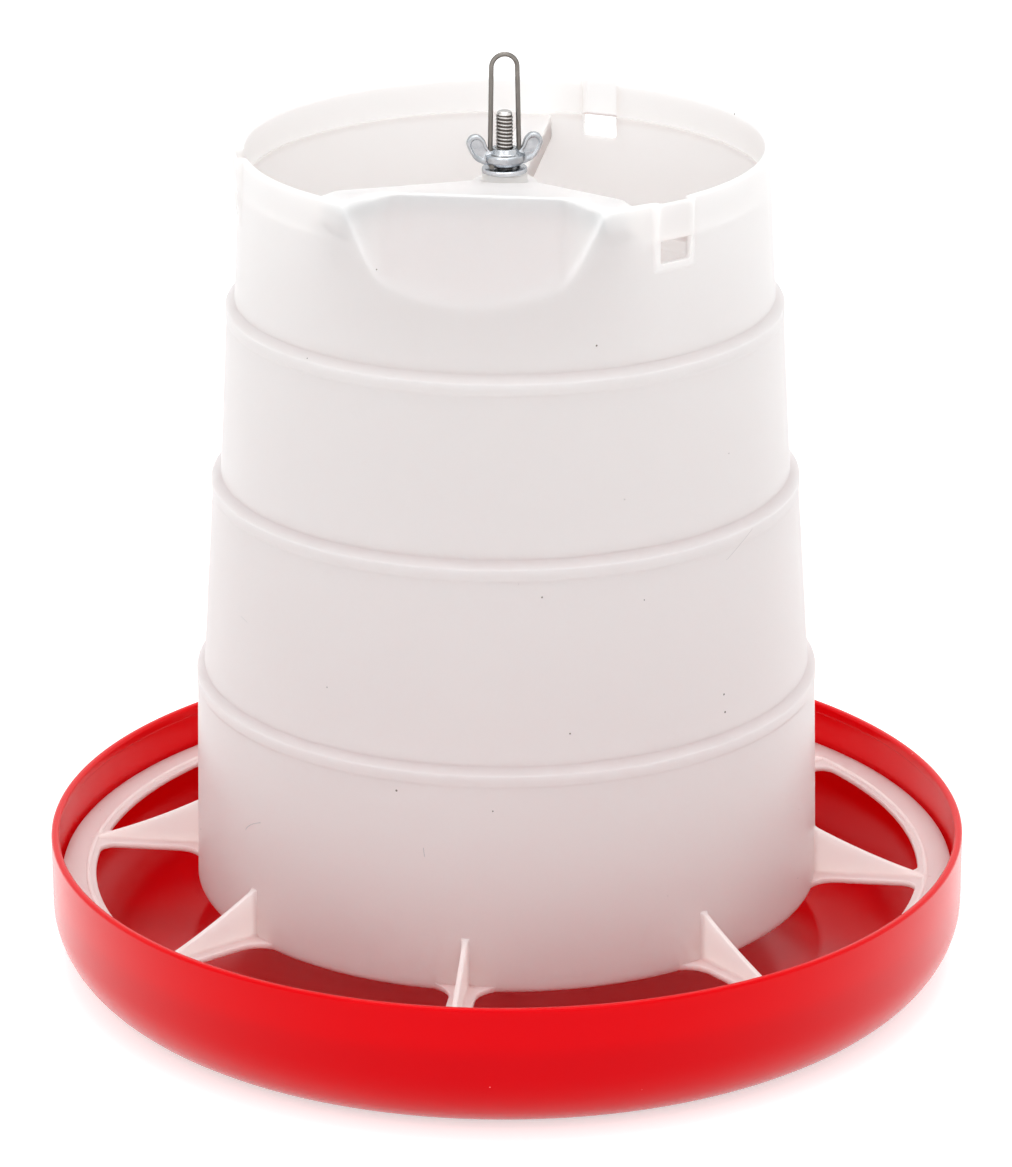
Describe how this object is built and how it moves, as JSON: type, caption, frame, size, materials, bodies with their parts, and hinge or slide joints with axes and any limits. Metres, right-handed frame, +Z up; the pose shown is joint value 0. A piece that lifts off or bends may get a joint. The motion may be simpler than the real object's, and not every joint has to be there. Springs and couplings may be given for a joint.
{
  "type": "hanging poultry feeder",
  "caption": "Hanging poultry feeder: a tapered translucent hopper with a finned feed grill over a round red pan, carried on a threaded rod with a wing nut and a wire loop.",
  "frame": {"origin": "On the floor below the middle of the pan, on the rod's axis.", "axes": "+Z runs up along the rod. The bridge across the hopper's mouth lies along Y, with its wide half towards -Y. +X completes the right-handed frame."},
  "size_m": [0.332, 0.332, 0.3366],
  "materials": {
    "red_plastic": "glossy moulded polypropylene",
    "natural_plastic": "milky translucent moulded polypropylene",
    "rod_steel": "bright rolled thread",
    "zinc_steel": "bright zinc plate",
    "wire_steel": "plain drawn wire"
  },
  "bodies": {
    "base": {"pan": "red_plastic", "threaded_rod": "rod_steel", "pan_nuts": "zinc_steel", "pan_washers": "zinc_steel"},
    "hopper_body": {"hopper": "natural_plastic", "bridge_washers": "zinc_steel"},
    "wing_nut_body": {"wing_nut": "zinc_steel", "wire_hanger": "wire_steel"},
    "bridge_nut_body": {"bridge_nut": "zinc_steel"}
  },
  "joints": [
    {"name": "hopper_lift", "type": "slide", "parent": "base", "child": "hopper_body", "axis": [0, 0, 1], "range_m": [-0.006, 0.012]},
    {"name": "wing_nut_turn", "type": "hinge", "parent": "hopper_body", "child": "wing_nut_body", "pos_m": [0, 0, 0.2976], "axis": [0, 0, 1], "range_deg": [-1710, 3420]},
    {"name": "bridge_nut_turn", "type": "hinge", "parent": "hopper_body", "child": "bridge_nut_body", "pos_m": [0, 0, 0.2765], "axis": [0, 0, 1], "range_deg": [-1710, 3420]}
  ],
  "couplings": [
    {"joint": "wing_nut_turn", "follows": "hopper_lift", "rad_per_m": 4947.4},
    {"joint": "bridge_nut_turn", "follows": "hopper_lift", "rad_per_m": 4947.4}
  ]
}
